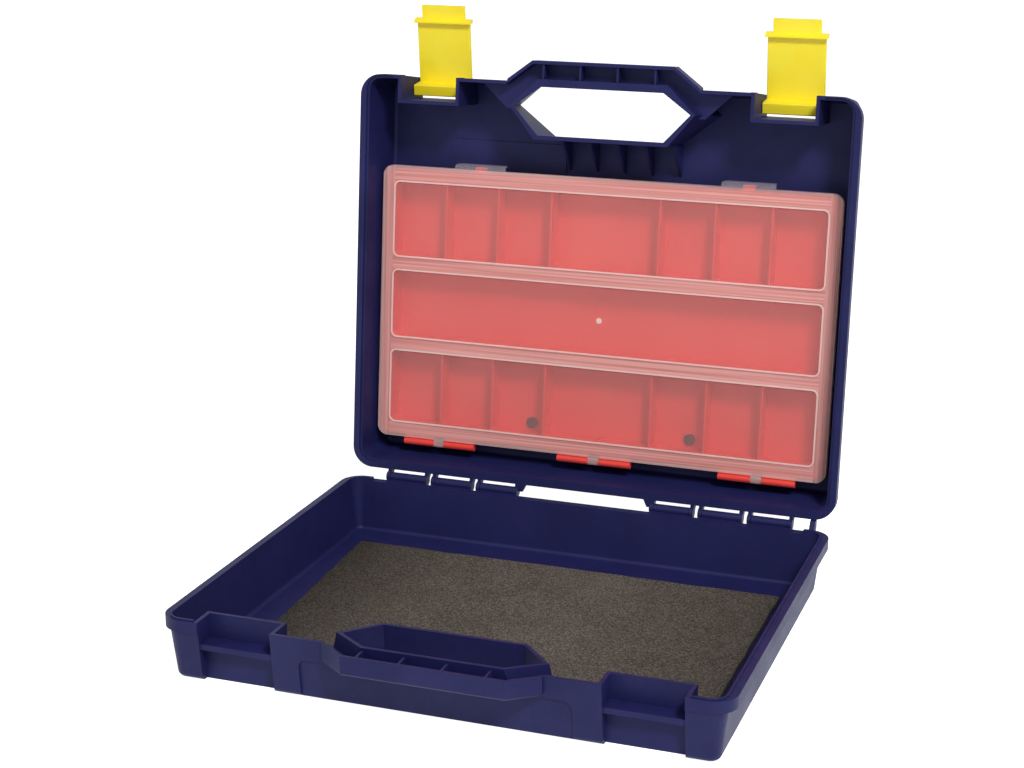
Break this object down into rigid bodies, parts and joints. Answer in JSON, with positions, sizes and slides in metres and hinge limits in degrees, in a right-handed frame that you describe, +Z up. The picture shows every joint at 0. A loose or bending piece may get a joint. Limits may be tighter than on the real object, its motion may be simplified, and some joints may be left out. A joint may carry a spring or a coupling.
{
  "type": "hard tool case",
  "caption": "Flat moulded tool case standing open: shallow base with foam sheet, lid with snap latches and a covered small-parts organiser, handle halves round a finger gap.",
  "frame": {"origin": "centre of the base's underside, midway between the front and back rims and between the sides", "axes": "+X to the right as seen from the front, +Y from the handle to the hinges, +Z up"},
  "size_m": [0.385, 0.4042, 0.4053],
  "materials": {
    "shell": "fine-textured moulded plastic, dark blue",
    "latch": "smooth moulded plastic, yellow",
    "foam": "open-cell foam, speckled grey-brown",
    "organiser": "smooth moulded plastic, red",
    "cover": "translucent frosted plastic, pale red",
    "rivet": "moulded plastic, near black"
  },
  "bodies": {
    "base": {"base_shell": "shell"},
    "lid": {"lid_shell": "shell", "organiser_tray": "organiser", "tray_rivet_left": "rivet", "tray_rivet_right": "rivet", "divider_top_1": "organiser", "divider_top_2": "organiser", "divider_top_3": "organiser", "divider_top_4": "organiser", "divider_top_5": "organiser", "divider_top_6": "organiser", "divider_bottom_1": "organiser", "divider_bottom_2": "organiser", "divider_bottom_3": "organiser", "divider_bottom_4": "organiser", "divider_bottom_5": "organiser", "divider_bottom_6": "organiser"},
    "latch_left": {"latch_left": "latch"},
    "latch_right": {"latch_right": "latch"},
    "organiser_cover": {"organiser_cover": "cover"},
    "foam": {"foam_sheet": "foam"}
  },
  "joints": [
    {"name": "lid_hinge", "type": "hinge", "parent": "base", "child": "lid", "pos_m": [0, 0.1596, 0.043], "axis": [1, 0, 0], "range_deg": [0, 95.6]},
    {"name": "latch_left_hinge", "type": "hinge", "parent": "lid", "child": "latch_left", "pos_m": [-0.137, 0.21827, 0.3411], "axis": [1, 0, 0], "range_deg": [-16, 79]},
    {"name": "latch_right_hinge", "type": "hinge", "parent": "lid", "child": "latch_right", "pos_m": [0.137, 0.21827, 0.3411], "axis": [1, 0, 0], "range_deg": [-16, 79]},
    {"name": "organiser_cover_hinge", "type": "hinge", "parent": "lid", "child": "organiser_cover", "pos_m": [0, 0.18458, 0.06567], "axis": [-1, 0, 0], "range_deg": [-100, 0]},
    {"name": "foam_lift", "type": "slide", "parent": "base", "child": "foam", "axis": [0, 0, -1], "range_m": [-0.04, 0]}
  ]
}
